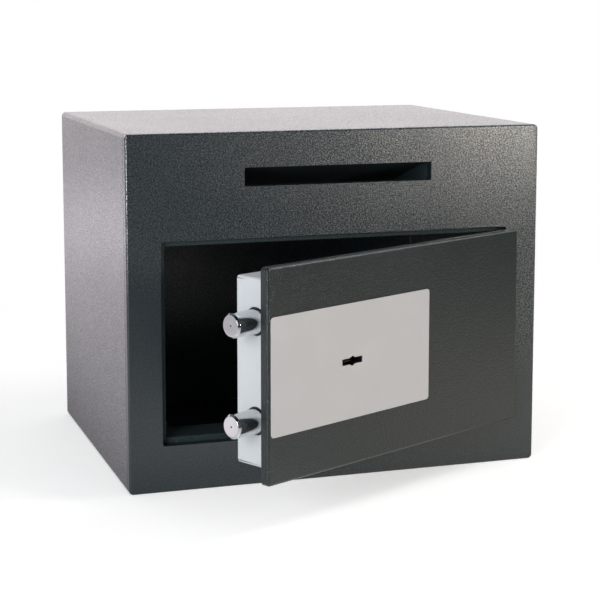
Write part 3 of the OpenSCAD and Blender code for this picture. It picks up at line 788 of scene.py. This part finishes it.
class SAFE_OT_door(bpy.types.Operator):
    """Softens the door plate, its bare front plate and the key guide"""

    bl_idname = "safe.door"
    bl_label = "Door"

    def execute(self, context):
        corner, front_rim, trim_soft, bush_soft = 3.2 * MM, 2.4 * MM, 0.2 * MM, 0.25 * MM
        rounded_node("door_plate", "door_leaf", corner, front_rim, FOLDED_RIM, DOOR)
        softened_node("front_plate", trim_soft, "front_trim")
        softened_node("keyhole_guide", bush_soft, "key_bush")
        return {"FINISHED"}


SMALL_SCREW = {"radius": 2 * MM, "head_radius": 3.6 * MM, "head_height": 2 * MM}
CARRIER_SCREW = {"radius": 3 * MM, "head_radius": 5 * MM, "head_height": 3.5 * MM}


class SAFE_OT_casing(bpy.types.Operator):
    """Bends the casing from one sheet with open corner seams, and cuts its bolt and screw holes"""

    bl_idname = "safe.casing"
    bl_label = "Casing"

    def execute(self, context):
        bolt_hole, screw_hole, cut, seam_height = 11.6 * MM, 2.15 * MM, 10 * MM, 2.1 * MM
        low, high = closed_box("door_casing")
        seams = ((low.z + seam_height, 0.25), (high.z - seam_height, 0.75))
        sheet, bend = sizes().casing_sheet, sizes().bend_radius
        bm = box_mesh(low, high)
        front = [f for f in bm.faces if all(abs(v.co.y - low.y) < MM / 10 for v in f.verts)]
        bmesh.ops.delete(bm, geom=front, context="FACES_ONLY")
        bends = [e for e in bm.edges if len(e.link_faces) == 2]
        bmesh.ops.bevel(bm, geom=bends, offset=bend, segments=6, profile=0.5, affect="EDGES")
        cutter = bmesh.new()
        hole = rod(bolt_hole, cut, segments=64)
        for node in ("bolt_upper", "bolt_lower"):
            bolt_low, bolt_high = closed_box(node)
            centre = (bolt_low + bolt_high) / 2
            join(cutter, hole, Matrix.Translation((low.x - cut / 2, centre.y, centre.z)))
        for height, closed_share in seams:
            seam = seam_mesh(low, high, height, closed_share, sheet)
            join(cutter, seam, STILL)
            seam.free()
        screw = rod(screw_hole, cut, segments=32)
        for x, z in screw_places("casing_screws"):
            join(cutter, screw, turned_to((x, high.y - cut / 2, z), (0, 1, 0)))
        hole.free()
        screw.free()
        bmesh.ops.recalc_face_normals(bm, faces=bm.faces)
        bmesh.ops.recalc_face_normals(cutter, faces=cutter.faces)
        tray = shaped(bm, ("SOLIDIFY", {"thickness": sheet, "offset": -1, "use_even_offset": True}, None),
                      ("BOOLEAN", {"operation": "DIFFERENCE", "solver": "EXACT"}, cutter))
        tray.transform(DOOR)
        finish_piece("casing_tray", tray, "door", "casing_paint", ("door_casing",), smooth=TURNED_SMOOTH)
        return {"FINISHED"}


def seam_mesh(low, high, height, closed_share, sheet):
    """Cuts an open seam between two walls of the casing, wide behind and closed near the door plate.

    It is closed over a share of the casing's depth.
    """
    half, narrow = 0.5 * MM, 0.1
    start = low.y + closed_share * (high.y - low.y)
    seam = box_mesh((low.x - MM, start, height - half), (low.x + 2 * sheet, high.y - MM, height + half))
    for v in seam.verts:
        if v.co.y < start + MM:
            v.co.z = height + (v.co.z - height) * narrow
    return seam


def screw_places(node):
    """Where a node's four small screws stand, seen from the front with the door closed."""
    low, high = closed_box(node)
    head = SMALL_SCREW["head_radius"]
    return [(x, z) for x in (low.x + head, high.x - head) for z in (low.z + head, high.z - head)]


def screw_mesh(length, radius, head_radius, head_height):
    """A pan head screw along +X with a cross recess; the head's top is at the far end."""
    top = length + head_height
    blunt, taper_end, blunt_share, brim_share = 0.4 * MM, 1.2 * MM, 0.7, 0.97
    rounds, wall, crown = 6, 0.45, 0.55
    profile = [(0, 0), (blunt, radius * blunt_share), (taper_end, radius), (length, radius),
               (length, head_radius * brim_share)]
    for i in range(rounds + 1):
        turn = QUARTER * i / rounds
        profile.append((length + head_height * (wall + (1 - wall) * math.sin(turn)),
                        head_radius * (crown + (1 - crown) * math.cos(turn)) if i else head_radius))
    profile.append((top, 0))
    body = lathe(profile, segments=48)
    bmesh.ops.recalc_face_normals(body, faces=body.faces)
    cross = bmesh.new()
    reach, half, depth, taper = head_radius * 0.62, head_radius * 0.11, head_height * 0.7, 0.6
    for a, b in ((reach, half), (half, reach)):
        slot = box_mesh((top - depth, -a, -b), (top + MM, a, b))
        for v in slot.verts:
            if v.co.x < top:
                v.co.y *= taper
                v.co.z *= taper
        join(cross, slot, STILL)
        slot.free()
    bmesh.ops.recalc_face_normals(cross, faces=cross.faces)
    settings = {"operation": "DIFFERENCE", "solver": "EXACT", "use_self": True}
    return shaped(body, ("BOOLEAN", settings, cross))


class SAFE_OT_screws(bpy.types.Operator):
    """Turns the screws of the casing, the lock and the carrier with cross recesses"""

    bl_idname = "safe.screws"
    bl_label = "Screws"

    def execute(self, context):
        for node, name in (("casing_screws", "casing_screw_set"), ("lock_screws", "lock_screw_set")):
            low, high = closed_box(node)
            screw = screw_mesh(high.y - low.y - SMALL_SCREW["head_height"], **SMALL_SCREW)
            places = [DOOR @ turned_to((x, low.y, z), (0, 1, 0)) for x, z in screw_places(node)]
            self.set_of(name, screw, places, "door", node)
        low, high = closed_box("carrier_screws")
        screw = screw_mesh(high.x - low.x - CARRIER_SCREW["head_height"], **CARRIER_SCREW)
        head = CARRIER_SCREW["head_radius"]
        places = [DOOR @ Matrix.Translation((low.x, (low.y + high.y) / 2, z))
                  for z in (low.z + head, high.z - head)]
        self.set_of("carrier_screw_set", screw, places, "bolts", "carrier_screws")
        return {"FINISHED"}

    def set_of(self, name, screw, places, body, node):
        """Puts a copy of the screw at each place and makes one piece of them."""
        bm = bmesh.new()
        for place in places:
            join(bm, screw, place)
        screw.free()
        finish_piece(name, bm, body, "zinc_screws", (node,), smooth=TURNED_SMOOTH)


class SAFE_OT_bolts(bpy.types.Operator):
    """Turns the two bolts with a rounded chamfer, tool rings and a centre mark"""

    bl_idname = "safe.bolts"
    bl_label = "Bolts"

    def execute(self, context):
        for node in ("bolt_upper", "bolt_lower"):
            low, high = closed_box(node)
            bolt = lathe(bolt_profile((high.z - low.z) / 2, high.x - low.x), segments=128)
            start = Vector((low.x, (low.y + high.y) / 2, (low.z + high.z) / 2))
            bolt.transform(DOOR @ Matrix.Translation(start))
            finish_piece(node + "_bar", bolt, "bolts", "bolt_chrome", (node,), smooth=BOLT_SMOOTH)
        return {"FINISHED"}


def bolt_profile(radius, length):
    """Points of distance along a bolt and radius, from the bottom of its centre mark."""
    chamfer, round_off = 1.6 * MM, 0.12 * MM
    rings, ring_depth, dish, mark = 12, 0.035 * MM, 0.05 * MM, 0.9 * MM
    face = radius - chamfer
    centre_mark = [(2.8 * MM, 0), (1.8 * MM, 0.7 * MM), (0.2 * MM, 0.75 * MM)]
    end_face = []
    for i in range(rings + 1):
        share = i / rings
        end_face.append((dish * (1 - share) ** 2 + ring_depth * (i % 2), mark + (face - mark) * share))
    rounded_chamfer = [
        (round_off * 0.4, face + round_off * 0.8), (round_off * 1.4, face + round_off * 1.6),
        (chamfer - round_off * 1.6, radius - round_off * 1.4),
        (chamfer - round_off * 0.4, radius - round_off * 0.5), (chamfer + round_off, radius)]
    return centre_mark + end_face + rounded_chamfer + [(length, radius), (length, 0)]


# Stage

PICTURE = 600
CAMERA_LENS = 98.94
CAMERA_SHIFT = -80 / PICTURE
CAMERA_PLACE = (-0.4772, -1.4963, 0.4201)
CAMERA_DOWN = math.radians(7.56)
CAMERA_TURN = math.radians(-18.13)
MIDDLE = (0, 0, 0.15)
RIGHT_LAMP = (1.04, -1.65, 0.50)
LAMPS = (
    {"name": "Key", "place": (-1.5, -1.5, 0.62), "target": MIDDLE,
     "width": 0.9, "height": 1.2, "power": 27, "colour": (0.95, 0.98, 1.0)},
    {"name": "Sheen", "place": RIGHT_LAMP, "target": (0.19, -0.15, 0.30),
     "width": 0.2, "height": 0.2, "power": 12.3, "colour": (1.0, 0.94, 0.86)},
    {"name": "Beam", "place": RIGHT_LAMP, "target": (0.15, -0.15, 0.34),
     "width": 0.06, "height": 0.06, "power": 0.025, "colour": (1.0, 0.90, 0.82), "spread": 9.0},
    {"name": "Low light", "place": (-0.75, 0.95, 0.07), "target": (-0.19, 0, 0.2),
     "width": 0.7, "height": 0.1, "power": 0.40, "colour": (1.0, 0.95, 1.0)},
    {"name": "Back light", "place": (0.0, 2.6, 0.9), "target": (0, 0, 0.3),
     "width": 4.0, "height": 1.6, "power": 9.5, "colour": (1.0, 0.94, 0.955)},
    {"name": "Right light", "place": (1.3, -0.3, 1.25), "target": (0.1, -0.2, 0.2),
     "width": 0.5, "height": 0.5, "power": 7, "colour": (1.0, 0.98, 0.95)},
)


def softbox(name, place, target, width, height, power, colour, spread=180.0):
    lamp = bpy.data.lights.new(name, "AREA")
    lamp.spread = math.radians(spread)
    lamp.shape = "RECTANGLE"
    lamp.size = width
    lamp.size_y = height
    lamp.energy = power
    lamp.color = colour
    made = bpy.data.objects.new(name, lamp)
    bpy.context.scene.collection.objects.link(made)
    made.location = place
    made.visible_camera = False
    made.rotation_euler = (Vector(target) - made.location).to_track_quat("-Z", "Y").to_euler()


class SAFE_OT_stage(bpy.types.Operator):
    """Sets the camera, the pale floor, the soft lamps and the world"""

    bl_idname = "safe.stage"
    bl_label = "Stage"

    def execute(self, context):
        scene = context.scene
        camera_data = bpy.data.cameras.new("Camera")
        camera_data.sensor_width = 36
        camera_data.lens = CAMERA_LENS
        camera_data.shift_y = CAMERA_SHIFT
        camera_data.clip_start = 0.05
        camera = bpy.data.objects.new("Camera", camera_data)
        scene.collection.objects.link(camera)
        camera.location = CAMERA_PLACE
        camera.rotation_euler = (QUARTER - CAMERA_DOWN, 0, CAMERA_TURN)
        scene.camera = camera
        scene.view_settings.view_transform = "Standard"
        self.floor()
        self.world(scene)
        for lamp in LAMPS:
            softbox(**lamp)
        return {"FINISHED"}

    def floor(self):
        """A pale floor: it runs out to white for the camera, and has set levels for what mirrors it."""
        bm = bmesh.new()
        bmesh.ops.create_grid(bm, x_segments=8, y_segments=8, size=8)
        floor = as_object("floor", bm)
        material, graph, shader = shaded("Floor")
        shader.inputs["Base Color"].default_value = (0.86, 0.86, 0.86, 1)
        shader.inputs["Roughness"].default_value = 0.8
        shader.inputs["Specular IOR Level"].default_value = 0.1
        place = graph.node("ShaderNodeTexCoord").outputs["Object"]
        plain = shader.outputs[0]
        ray = graph.node("ShaderNodeLightPath").outputs
        polished = graph.most(ray["Is Glossy Ray"], ray["Is Transmission Ray"])
        lit = graph.mix(ray["Is Camera Ray"], plain, seen_floor(graph, place, plain))
        surface = graph.mix(polished, lit, mirrored_floor(graph, place, plain))
        output = next(n for n in material.node_tree.nodes if n.type == "OUTPUT_MATERIAL")
        graph.feed(output.inputs["Surface"], surface)
        floor.data.materials.append(material)

    def world(self, scene):
        """White behind the safe, and a darker room in front of it and above its left for what shines."""
        world = bpy.data.worlds.new("Studio")
        world.use_nodes = True
        graph = Graph(world.node_tree)
        way = graph.axes(graph.node("ShaderNodeTexCoord").outputs["Generated"])
        ray = graph.node("ShaderNodeLightPath").outputs
        room_light, darkest_front, front_to_back = 0.45, 0.10, (-0.25, 0.35)
        patch, patch_above, patch_left, tint_heights = 0.85, (0.3, 0.5), (-0.3, 0.0), (0.3, 0.7)
        above_left = graph.times(graph.spread(way["Z"], *patch_above, 0.0, patch),
                                 graph.spread(way["X"], *patch_left, 1.0, 0.0))
        back = graph.times(graph.spread(way["Y"], *front_to_back, darkest_front, 1.0),
                           graph.less(1.0, above_left))
        room = graph.most(back, ray["Is Camera Ray"])
        polished = graph.most(ray["Is Glossy Ray"], ray["Is Transmission Ray"])
        seen = graph.most(ray["Is Camera Ray"], polished)
        level = graph.spread(seen, 0.0, 1.0, room_light, room)
        low_tint, high_tint = (1.0, 0.93, 0.95, 1), (0.86, 0.96, 1.0, 1)
        mirrored_tint = graph.blend(graph.spread(way["Z"], *tint_heights, 0.0, 1.0), low_tint, high_tint)
        tint = graph.blend(ray["Is Glossy Ray"], WHITE, mirrored_tint)
        sky = graph.node("ShaderNodeBackground", Color=tint, Strength=level)
        graph.node("ShaderNodeOutputWorld", Surface=sky.outputs[0])
        scene.world = world


FLOOR_LIFT = 0.42


def seen_floor(graph, place, plain):
    """What the camera sees: the plain floor lifted outside the safe's foot, and white far off."""
    half_width, half_depth, at_edge, far_off = 0.19, 0.15, (-0.01, 0.0), (0.45, 1.6)
    axes = graph.axes(place)
    outside = graph.most(graph.less(graph.unsigned(axes["X"]), half_width),
                         graph.less(graph.unsigned(axes["Y"]), half_depth))
    lift = graph.glow(WHITE, graph.spread(outside, *at_edge, 0.0, FLOOR_LIFT))
    away = graph.spread(distance(graph, place), *far_off, 0.0, 1.0)
    return graph.mix(away, graph.both(plain, lift), graph.glow(WHITE, 1.0))


def mirrored_floor(graph, place, plain):
    """What shines sees a cool white floor behind the safe, and a warm one ahead of it.

    Ahead, it falls off towards the camera and is darker close to the foot; behind, it is darker beside
    the safe and far to the left. The darkening beside the safe and at the foot is painted shade of the
    safe and the door. On the left it is the plain floor, lifted close to the safe.
    """
    axes = graph.axes(place)
    reach = distance(graph, place)
    lean, ahead_edge, right_edge = 0.35, (-0.25, -0.02), (-0.30, -0.12)
    slant = graph.less(axes["Y"], graph.times(axes["X"], lean))
    ahead = graph.spread(slant, *ahead_edge, 1.0, 0.0)
    right = graph.spread(graph.add(axes["X"], axes["Y"]), *right_edge, 0.0, 1.0)

    # Behind, the level is lower beside the safe: painted shade of the safe in what shines.
    shade_beside_safe, safe_sides, far_left, left_end = 0.42, (0.2, 0.34), 0.6, (-0.95, -0.6)
    behind = graph.times(graph.spread(graph.unsigned(axes["X"]), *safe_sides, shade_beside_safe, 1.0),
                         graph.spread(axes["X"], *left_end, far_left, 1.0))
    # Ahead, the level is lower close to the foot: painted shade of the door and the safe.
    foot_shade_level, foot_fade, at_camera, camera_fade = 0.74, (0.22, 0.42), 0.1, (0.6, 1.1)
    front = graph.times(graph.spread(reach, *camera_fade, 1.0, at_camera), right)
    front = graph.times(graph.spread(reach, *foot_fade, foot_shade_level, 1.0), front)
    level = graph.node("ShaderNodeMix", Factor=ahead, i2=behind, i3=front).outputs[0]
    cool, warm, cream = (1.0, 0.93, 0.99, 1), (1.0, 0.91, 0.80, 1), (1.0, 0.98, 0.95, 1)
    pale = graph.glow(graph.blend(ahead, cool, warm), level)

    glow_fade, plain_fade = (0.28, 0.45), (0.4, 1.4)
    glow = graph.glow(cream, graph.spread(reach, *glow_fade, FLOOR_LIFT, 0.0))
    close = graph.times(ahead, graph.spread(reach, *plain_fade, 1.0, 0.0))
    left = graph.less(1.0, right)
    return graph.mix(graph.times(close, left), pale, graph.both(plain, glow))


def distance(graph, place):
    return graph.node("ShaderNodeVectorMath", {"operation": "LENGTH"}, i0=place).outputs["Value"]


OPERATORS = (
    SAFE_OT_finishes, SAFE_OT_body, SAFE_OT_jambs, SAFE_OT_chute, SAFE_OT_hinges, SAFE_OT_door,
    SAFE_OT_casing, SAFE_OT_screws, SAFE_OT_bolts, SAFE_OT_stage,
)


class SAFE_PT_panel(bpy.types.Panel):
    """Lists the safe's sizes, colours and steps in the sidebar"""

    bl_idname = "SAFE_PT_panel"
    bl_label = "Deposit safe"
    bl_space_type = "VIEW_3D"
    bl_region_type = "UI"
    bl_category = "Safe"

    def draw(self, context):
        for group in (context.scene.safe_sizes, context.scene.safe_colours):
            for name in group.__annotations__:
                self.layout.prop(group, name)
        for operator in OPERATORS:
            self.layout.operator(operator.bl_idname)


CLASSES = (SafeSizes, SafeColours) + OPERATORS + (SAFE_PT_panel,)


def register():
    for kind in CLASSES:
        bpy.utils.register_class(kind)
    bpy.types.Scene.safe_sizes = bpy.props.PointerProperty(type=SafeSizes)
    bpy.types.Scene.safe_colours = bpy.props.PointerProperty(type=SafeColours)


def unregister():
    del bpy.types.Scene.safe_colours
    del bpy.types.Scene.safe_sizes
    for kind in reversed(CLASSES):
        bpy.utils.unregister_class(kind)


def main():
    register()
    for operator in OPERATORS:
        area, name = operator.bl_idname.split(".")
        getattr(getattr(bpy.ops, area), name)()


if __name__ == "__main__":
    main()
